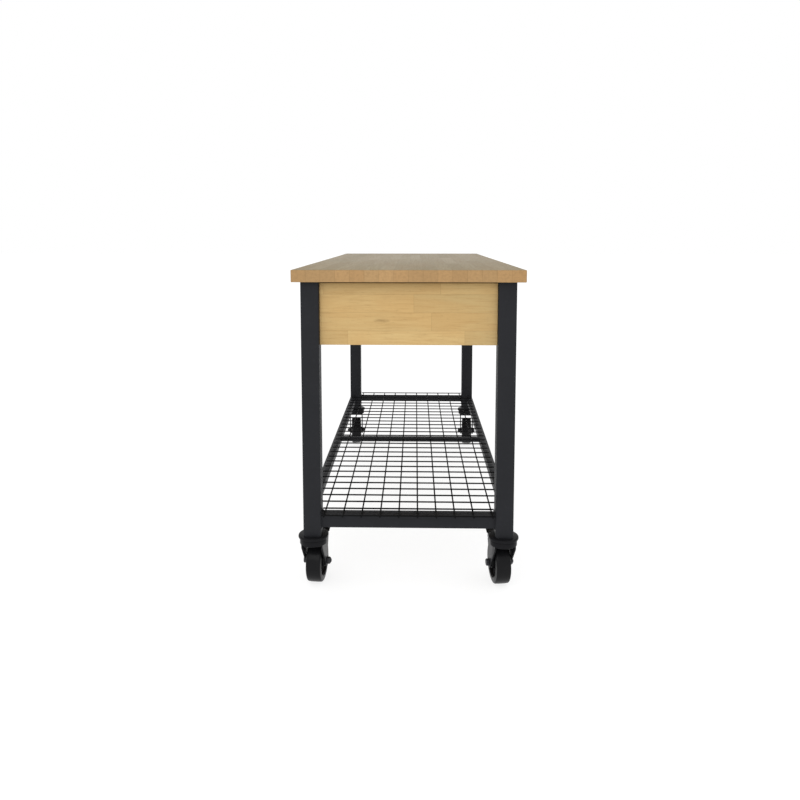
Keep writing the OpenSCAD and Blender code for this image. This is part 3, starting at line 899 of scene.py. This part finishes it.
class TABLE_OT_shelf_grid(bpy.types.Operator):
    """Build the shelf's wires and the spot welds where they cross"""
    bl_idname = "table.shelf_grid"
    bl_label = "Shelf grid"

    def execute(self, context):
        coating = context.scene.table_steel.wire_coating
        long_wires = wires("grid_long_wires", "shelf_long_wires", 1, coating)
        cross_wires = wires("grid_cross_wires", "shelf_cross_wires", 0, coating)
        low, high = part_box("shelf_long_wires")
        radius = (high.z - low.z) / 2
        bpy.ops.object.select_all(action="DESELECT")
        bpy.ops.mesh.primitive_ico_sphere_add(
            subdivisions=1, radius=radius * 0.86, location=(0, 0, high.z))
        spot = bpy.context.object
        settle(spot)
        spots = [
            copy_piece(spot, "spot", Matrix.Translation((x, y, 0)))
            for x, _, _ in wire_lines("shelf_long_wires", 1)
            for y, _, _ in wire_lines("shelf_cross_wires", 0)
        ]
        bpy.data.objects.remove(spot)
        spot_welds = merge("grid_spot_welds", spots)
        smooth(spot_welds, 60)
        coat = finish_of("wire_coat")
        finish_piece(long_wires, coat, "shelf_wire", STAND, "shelf_long_wires")
        finish_piece(cross_wires, coat, "shelf_wire", STAND, "shelf_cross_wires")
        finish_piece(spot_welds, coat, "shelf_wire", STAND)
        return {"FINISHED"}


class TABLE_OT_hidden_steel(bpy.types.Operator):
    """Finish the rails, tabs, screws and plugs that stay as they are in the frame"""
    bl_idname = "table.hidden_steel"
    bl_label = "Rails, tabs and screws"

    def execute(self, context):
        coat, zinc = finish_of("powder_coat"), finish_of("zinc_plate")
        coated_nodes = ["top_rail_" + side for side in ("near", "far", "left", "right", "mid")]
        coated_nodes += ["apron_tabs", "leg_plugs"]
        zinc_nodes = ["worktop_screws", "apron_screws"]
        zinc_nodes += ["swivel_balls_" + corner for corner in CORNERS]
        for names, finish in ((coated_nodes, coat), (zinc_nodes, zinc)):
            for name in names:
                obj = frame["nodes"][name]
                obj.data.materials.clear()
                obj.data.materials.append(finish)
        return {"FINISHED"}


# Casters


def place_copies(template, kind, body, finish, slot, nodes, corners=CORNERS):
    """Copies a caster piece to each corner, and removes the template."""
    for corner in corners:
        piece = copy_piece(template, kind + "_" + corner, caster_place(corner))
        finish_piece(piece, finish, slot, body.format(corner), *[n + "_" + corner for n in nodes])
    bpy.data.objects.remove(template)


class TABLE_OT_caster_heads(bpy.types.Operator):
    """Build the round swivel heads under the legs"""
    bl_idname = "table.caster_heads"
    bl_label = "Caster heads"

    def execute(self, context):
        settings = context.scene.table_casters
        sizes = caster_sizes()
        low, high = sizes["caster_head"]
        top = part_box("leg_near_left")[0].z
        radius = high.x
        pin = 0.006
        flange = 0.011
        flange_top = sizes["crown_bottom"] - 0.0001
        skirt_low = top - 0.008
        roof = top - 0.003
        # From the stem's top, down the outside of the plate and skirt, and back in under the roof
        outline = [(0.0, high.z), (pin - 0.001, high.z), (pin, high.z - 0.001), (pin, top)]
        outline += [(radius - 0.012, top), (radius - 0.010, top - 0.0006)]
        outline += arc((radius - 0.0034, top - 0.004), 0.0034, 80, 0, 6)
        outline += [(radius, skirt_low + 0.001), (radius - 0.0006, skirt_low)]
        outline += [(radius - 0.0016, skirt_low), (radius - 0.002, skirt_low + 0.001)]
        outline += [(radius - 0.002, roof - 0.001), (radius - 0.003, roof)]
        outline += [(pin, roof), (pin, flange_top), (flange - 0.001, flange_top)]
        outline += [(flange, flange_top - 0.001), (flange, low.z + 0.0015)]
        outline += [(flange - 0.0015, low.z), (0.0, low.z)]
        head = turned_upright("head", outline, settings.steps)
        smooth(head, 35)
        place_copies(head, "swivel_head", STAND, finish_of("caster_coat"),
                     "caster_steel", ["caster_head"])
        return {"FINISHED"}


def fork_saddle(sizes, settings, top):
    """The fork's pressed sheet before its outline is cut: two arms and the crown between them."""
    outer = sizes["arm_half"]
    sheet, bend = settings.sheet, settings.bend
    foot = -0.01
    outline = [(-outer, foot)]
    outline += arc((-outer + bend, top - bend), bend, 180, 90, 8)
    outline += arc((outer - bend, top - bend), bend, 90, 0, 8)
    outline += [(outer, foot), (outer - sheet, foot)]
    inner = bend - sheet
    outline += arc((outer - bend, top - bend), inner, 0, 90, 6)
    outline += arc((-outer + bend, top - bend), inner, 90, 180, 6)
    outline += [(-outer + sheet, foot)]
    return bar("saddle", outline, -0.08, 0.12)


def arm_outline(sizes, eye, top, braked):
    """The fork's side view as (y, z) points, from the front of the crown round to the back."""
    trail, axle = sizes["trail"], sizes["axle"]
    half = 0.022
    outline = [(-half, top + 0.01), (-half, top - 0.010)]
    outline += arc((-half + 0.012, top - 0.022), 0.012, 170, 205, 3)
    outline += arc((trail, axle), eye, 205, 370 if not braked else 385, 16)
    if braked:
        back, pin, ear = sizes["pin_back"], sizes["pin_z"], 0.0082
        outline += [(back - 0.004, axle + 0.034)]
        outline += arc((back, pin), ear, -35, 110, 10)
        outline += [(half + 0.012, top - 0.001), (half + 0.006, top + 0.01)]
    else:
        outline += [(half + 0.013, top - 0.034), (half + 0.006, top - 0.018)]
        outline += [(half, top - 0.010), (half, top + 0.01)]
    return outline


def build_fork(sizes, settings, braked):
    """A fork: two pressed arms on a round crown, drilled for the axle and the pedal's pin."""
    top = sizes["crown_top"]
    fork = fork_saddle(sizes, settings, top)
    side = plate("side", arm_outline(sizes, 0.015, top, braked), -CUT_REACH, CUT_REACH)
    carve(fork, side, "INTERSECT")
    under, rim, lip = sizes["crown_bottom"], 0.037, 0.013
    inner = rim - settings.sheet
    crown = [(0.00605, top), (0.00605, under), (inner - 0.0015, under), (inner, under - 0.0015)]
    crown += [(inner, under - lip + 0.0004), (inner + 0.0006, under - lip)]
    crown += [(rim - 0.0008, under - lip), (rim, under - lip + 0.0008)]
    crown += arc((rim - 0.005, top - 0.005), 0.005, 0, 90, 6)
    crown += [(0.0300, top - 0.0012), (0.0240, top - 0.0012), (0.0222, top - 0.0001)]
    crown_disc = turned_upright("crown", crown, settings.steps)
    centre = rod("centre", (0, 0, top - 0.03), (0, 0, top + 0.03), 0.02, 48)
    carve(fork, centre, "DIFFERENCE")
    carve(fork, crown_disc, "UNION")
    drill(fork, sizes["trail"], sizes["axle"], AXLE_HOLE, 32)
    if braked:
        drill(fork, sizes["pin_back"], sizes["pin_z"], PIN_HOLE, 24)
    soften_sharp(fork, 0.0005, 2, 40)
    smooth(fork, 40)
    return fork


class TABLE_OT_forks(bpy.types.Operator):
    """Build the casters' pressed forks"""
    bl_idname = "table.forks"
    bl_label = "Forks"

    def execute(self, context):
        settings = context.scene.table_casters
        sizes = caster_sizes()
        coat = finish_of("caster_coat")
        for braked in (True, False):
            fork = build_fork(sizes, settings, braked)
            corners = [c for c in CORNERS if (c in BRAKED) == braked]
            place_copies(fork, "pressed_fork", "swivel_{}", coat, "caster_steel", ["fork"], corners)
        return {"FINISHED"}


def hexagon(name, x_low, x_high, radius, across, height):
    """A hexagon head with a turned chamfer at its outer end."""
    nut = rod(name, (x_low, across, height), (x_high, across, height), radius, 6)
    outer = -1 if x_high <= 0 else 1
    inner_x, outer_x = (x_high, x_low) if outer < 0 else (x_low, x_high)
    shape = [(inner_x, 0), (inner_x, radius), (outer_x - outer * 0.0018, radius)]
    shape += [(outer_x, radius * 0.86), (outer_x, 0)]
    cone = turned("cone", shape, 48, across, height)
    carve(nut, cone, "INTERSECT")
    return nut


class TABLE_OT_axles(bpy.types.Operator):
    """Build the axle bolts, their nuts and the sleeves"""
    bl_idname = "table.axles"
    bl_label = "Axles"

    def execute(self, context):
        sizes = caster_sizes()
        low, high = sizes["axle_bolt"]
        trail, axle, arm = sizes["trail"], sizes["axle"], sizes["arm_half"]
        radius, across = AXLE_RADIUS, 0.0098
        shank = [(-arm, 0), (-arm, radius), (high.x - 0.001, radius)]
        shank += [(high.x, radius - 0.001), (high.x, 0)]
        bolt = turned("bolt", shank, 32, trail, axle)
        head = hexagon("head", low.x, -arm, across, trail, axle)
        nut = hexagon("nut", arm, arm + 0.008, across, trail, axle)
        collar = [(arm + 0.0075, radius + 0.0002), (arm + 0.0075, 0.0074), (arm + 0.0088, 0.0070)]
        collar += [(arm + 0.0094, 0.0062), (arm + 0.0094, radius + 0.0002)]
        insert = turned("insert", collar, 32, trail, axle)
        ring = [(arm, radius), (arm, 0.0102), (arm + 0.0009, 0.0105)]
        ring += [(arm + 0.0014, 0.0102), (arm + 0.0014, radius)]
        washers = [
            turned("washer", [(side * x, r) for x, r in ring], 32, trail, axle)
            for side in (-1, 1)
        ]
        axle_set = merge("axle", [bolt, head, nut, insert] + washers)
        smooth(axle_set, 35)
        place_copies(axle_set, "axle_set", "swivel_{}", finish_of("dark_plate"),
                     "axle_steel", ["axle_bolt"])
        inner = sizes["axle_sleeve"][1]
        wall, half = inner.z - axle, inner.x
        outline = [(-half, radius), (-half, wall), (half, wall), (half, radius)]
        sleeve = turned("sleeve", outline, 32, trail, axle)
        smooth(sleeve, 35)
        place_copies(sleeve, "sleeve", "swivel_{}", finish_of("zinc_plate"),
                     "zinc", ["axle_sleeve"])
        return {"FINISHED"}


class TABLE_OT_wheels(bpy.types.Operator):
    """Build the wheels: hubs with ribs, and tyres"""
    bl_idname = "table.wheels"
    bl_label = "Wheels"

    def execute(self, context):
        settings = context.scene.table_casters
        sizes = caster_sizes()
        trail, axle = sizes["trail"], sizes["axle"]
        hub_high, tyre_high = sizes["wheel_hub"][1], sizes["tyre"][1]
        bore = sizes["axle_sleeve"][1].z - axle + 0.00005
        rim = hub_high.z - axle
        boss_half = hub_high.x
        rim_half = tyre_high.x - 0.002
        web = 0.004
        side = [(-boss_half, bore), (-boss_half, bore + 0.006), (-boss_half + 0.001, bore + 0.0078)]
        side += [(-rim_half + 0.002, bore + 0.0088), (-web - 0.001, bore + 0.0100), (-web, bore + 0.0125)]
        side += [(-web, rim - 0.0085), (-web - 0.001, rim - 0.0065)]
        side += [(-rim_half + 0.0015, rim - 0.0060), (-rim_half, rim - 0.0048), (-rim_half, rim)]
        hub = turned("hub", mirrored(side), settings.steps, trail, axle)
        ribs = []
        for face in (-1, 1):
            for i in range(settings.ribs):
                outer = face * (rim_half - 0.004)
                ends = sorted((face * web * 0.5, outer))
                rib = block("rib", (ends[0], -0.0011, bore + 0.006), (ends[1], 0.0011, rim - 0.004))
                soften(rib, 0.0008, 2,
                       lambda a, b: max(abs(a.x - outer), abs(b.x - outer)) < CLOSE)
                turn = Matrix.Rotation(math.tau * (i + 0.5 * (face > 0)) / settings.ribs, 4, "X")
                rib.data.transform(Matrix.Translation((0, trail, axle)) @ turn)
                ribs.append(rib)
        hub = merge("hub", [hub] + ribs)
        smooth(hub, 40)
        place_copies(hub, "ribbed_hub", "wheel_{}", finish_of("gloss_moulding"),
                     "hub_plastic", ["wheel_hub"])

        half, tread = tyre_high.x, tyre_high.z - axle
        shoulder = 0.0045
        profile = [(-rim_half, rim), (-rim_half, rim - 0.003), (-half + 0.0008, rim - 0.003)]
        profile += [(-half, rim - 0.0022), (-half, rim + 0.002), (-half + 0.0006, rim + 0.003)]
        profile += [(-half + 0.0006, tread - shoulder - 0.0005)]
        corner = (-half + shoulder + 0.0006, tread - shoulder - 0.0006)
        profile += arc(corner, shoulder, 180, 96, 6) + [(-0.008, tread - 0.0002)]
        tyre = turned("tyre", mirrored(profile), 128, trail, axle)
        smooth(tyre, 40)
        place_copies(tyre, "round_tyre", "wheel_{}", finish_of("rolled_rubber"),
                     "tyre_rubber", ["tyre"])
        return {"FINISHED"}


class TABLE_OT_brakes(bpy.types.Operator):
    """Build the brake pedals and their pins"""
    bl_idname = "table.brakes"
    bl_label = "Brakes"

    def execute(self, context):
        sizes = caster_sizes()
        high = sizes["brake_pedal"][1]
        back, pin = sizes["pin_back"], sizes["pin_z"]
        hub, thick = 0.007, 0.004
        arm = sizes["arm_half"]
        half = arm - context.scene.table_casters.sheet - 0.0005
        tip_y = high.y
        tip = pin + 0.014
        start = back + 0.018
        top_start, near_tip = pin + hub - 0.002, tip + thick - 0.0032
        upper = [(start, top_start), (tip_y - 0.008, near_tip), (tip_y - 0.001, tip + thick - 0.0006)]
        under = [(tip_y, tip + 0.0024), (tip_y - 0.0012, tip - 0.0002), (tip_y - 0.010, tip - 0.0042)]
        under += [(start, top_start - thick)]
        hub_arc = arc((back, pin), hub, 75, 300, 12)
        body_side = upper[:1] + hub_arc + [(back + 0.008, pin - 0.002)] + under[-1:]
        body = plate("body", body_side, -half, half)
        wide = high.x
        pad_start = start - 0.0005
        pad_side = [(pad_start, top_start)] + upper[1:] + under[:-1]
        pad_side += [(pad_start, top_start - thick)]
        pad = plate("pad", pad_side, -wide, wide)
        soften(pad, 0.006, 4,
               lambda a, b: abs(a.x - b.x) < CLOSE and min(a.y, b.y) > tip_y - 0.0015)
        grips = []
        for i in range(5):
            y = tip_y - 0.0065 - i * 0.0042
            z = near_tip + (tip_y - 0.008 - y) * (top_start - near_tip) / (tip_y - 0.008 - start)
            grip = block("grip", (-wide + 0.006, y - 0.0008, z - 0.001),
                         (wide - 0.006, y + 0.0008, z + 0.0009))
            soften(grip, 0.0005, 2)
            grips.append(grip)
        tread = sizes["tyre"][1].z - sizes["axle"]
        to_axle = math.hypot(back - sizes["trail"], pin - sizes["axle"])
        shoe_low = pin - (to_axle - tread - 0.0008)
        shoe_side = [(back - 0.005, pin), (back + 0.005, pin)]
        shoe_side += [(back + 0.003, shoe_low), (back - 0.003, shoe_low)]
        shoe = plate("shoe", shoe_side, -half / 2, half / 2)
        carve(body, pad, "UNION")
        carve(body, shoe, "UNION")
        drill(body, back, pin, PIN_HOLE, 24)
        soften_sharp(body, 0.0006, 2, 40)
        pedal = merge("pedal", [body] + grips)
        smooth(pedal, 40)
        place_copies(pedal, "foot_pedal", "pedal_{}", finish_of("gloss_moulding"),
                     "hub_plastic", ["brake_pedal"], BRAKED)

        end = sizes["pedal_pin"][1].x
        shape = [(-end, 0), (-end, 0.0038), (-end + 0.0008, 0.0049), (-arm, 0.005), (-arm, 0.003)]
        pivot = turned("pivot", mirrored(shape), 32, back, pin)
        smooth(pivot, 35)
        place_copies(pivot, "pivot_pin", "swivel_{}", finish_of("zinc_plate"),
                     "zinc", ["pedal_pin"], BRAKED)
        return {"FINISHED"}


# Stage


def softbox(name, place, target, size, power):
    """A rectangular area light turned to a target."""
    bpy.ops.object.select_all(action="DESELECT")
    direction = Vector(target) - Vector(place)
    bpy.ops.object.light_add(
        type="AREA", location=place, rotation=direction.to_track_quat("-Z", "Y").to_euler())
    light = bpy.context.object
    light.name = name
    light.data.shape = "RECTANGLE"
    light.data.size, light.data.size_y = size
    light.data.energy = power


class TABLE_OT_stage(bpy.types.Operator):
    """Set the pale floor, the soft lights and the camera"""
    bl_idname = "table.stage"
    bl_label = "Stage"

    def execute(self, context):
        settings = context.scene.table_stage
        low = cad_box[0]
        near = low.y

        bpy.ops.object.select_all(action="DESELECT")
        bpy.ops.mesh.primitive_plane_add(size=settings.floor_size, location=(0, 0, low.z))
        floor = bpy.context.object
        floor.name = "pale_floor"
        paint = Paint("pale_floor")
        floor.data.materials.append(
            paint.done(
                Base_Color=(0.28, 0.28, 0.28, 1), Roughness=0.9, Specular_IOR_Level=0.0,
                Emission_Color=(1, 1, 1, 1), Emission_Strength=settings.floor_glow))

        world = bpy.data.worlds.new("studio")
        context.scene.world = world
        world.use_nodes = True
        background = world.node_tree.nodes["Background"]
        background.inputs["Color"].default_value = (1, 1, 1, 1)
        background.inputs["Strength"].default_value = settings.sky
        context.scene.view_settings.view_transform = "Standard"

        middle = (0, near + 0.4, 0.5)
        softbox("key", (-0.6, near - 2.6, 2.2), middle, (2.2, 1.6), settings.key_power)

        data = bpy.data.cameras.new("camera")
        data.sensor_width = 36.0
        data.lens = 31.65
        data.shift_y = -0.1228
        camera = bpy.data.objects.new("camera", data)
        context.scene.collection.objects.link(camera)
        camera.location = (
            settings.camera_aside, near - settings.camera_distance, settings.camera_height)
        camera.rotation_euler = (math.pi / 2 - settings.camera_down, 0, settings.camera_turn)
        context.scene.camera = camera
        return {"FINISHED"}


class TABLE_PT_build(bpy.types.Panel):
    """Lists the steps that build the table"""
    bl_label = "Butcher block table"
    bl_idname = "TABLE_PT_build"
    bl_space_type = "VIEW_3D"
    bl_region_type = "UI"
    bl_category = "Table"

    def draw(self, context):
        for step in STEPS:
            self.layout.operator(step.bl_idname)
        for group in (context.scene.table_wood, context.scene.table_steel,
                      context.scene.table_casters, context.scene.table_stage):
            box = self.layout.box()
            for key in group.__annotations__:
                box.prop(group, key)


STEPS = (
    TABLE_OT_worktop,
    TABLE_OT_aprons,
    TABLE_OT_legs,
    TABLE_OT_shelf_frame,
    TABLE_OT_welds,
    TABLE_OT_shelf_grid,
    TABLE_OT_hidden_steel,
    TABLE_OT_caster_heads,
    TABLE_OT_forks,
    TABLE_OT_axles,
    TABLE_OT_wheels,
    TABLE_OT_brakes,
    TABLE_OT_stage,
)
GROUPS = {
    "table_wood": WoodSettings,
    "table_steel": SteelSettings,
    "table_casters": CasterSettings,
    "table_stage": StageSettings,
}


def register():
    for group in GROUPS.values():
        bpy.utils.register_class(group)
    for step in STEPS:
        bpy.utils.register_class(step)
    bpy.utils.register_class(TABLE_PT_build)
    for name, group in GROUPS.items():
        setattr(bpy.types.Scene, name, PointerProperty(type=group))


def unregister():
    for name in GROUPS:
        delattr(bpy.types.Scene, name)
    bpy.utils.unregister_class(TABLE_PT_build)
    for step in reversed(STEPS):
        bpy.utils.unregister_class(step)
    for group in reversed(GROUPS.values()):
        bpy.utils.unregister_class(group)


def main():
    register()
    bpy.ops.table.worktop()
    bpy.ops.table.aprons()
    bpy.ops.table.legs()
    bpy.ops.table.shelf_frame()
    bpy.ops.table.welds()
    bpy.ops.table.shelf_grid()
    bpy.ops.table.hidden_steel()
    bpy.ops.table.caster_heads()
    bpy.ops.table.forks()
    bpy.ops.table.axles()
    bpy.ops.table.wheels()
    bpy.ops.table.brakes()
    bpy.ops.table.stage()


if __name__ == "__main__":
    main()
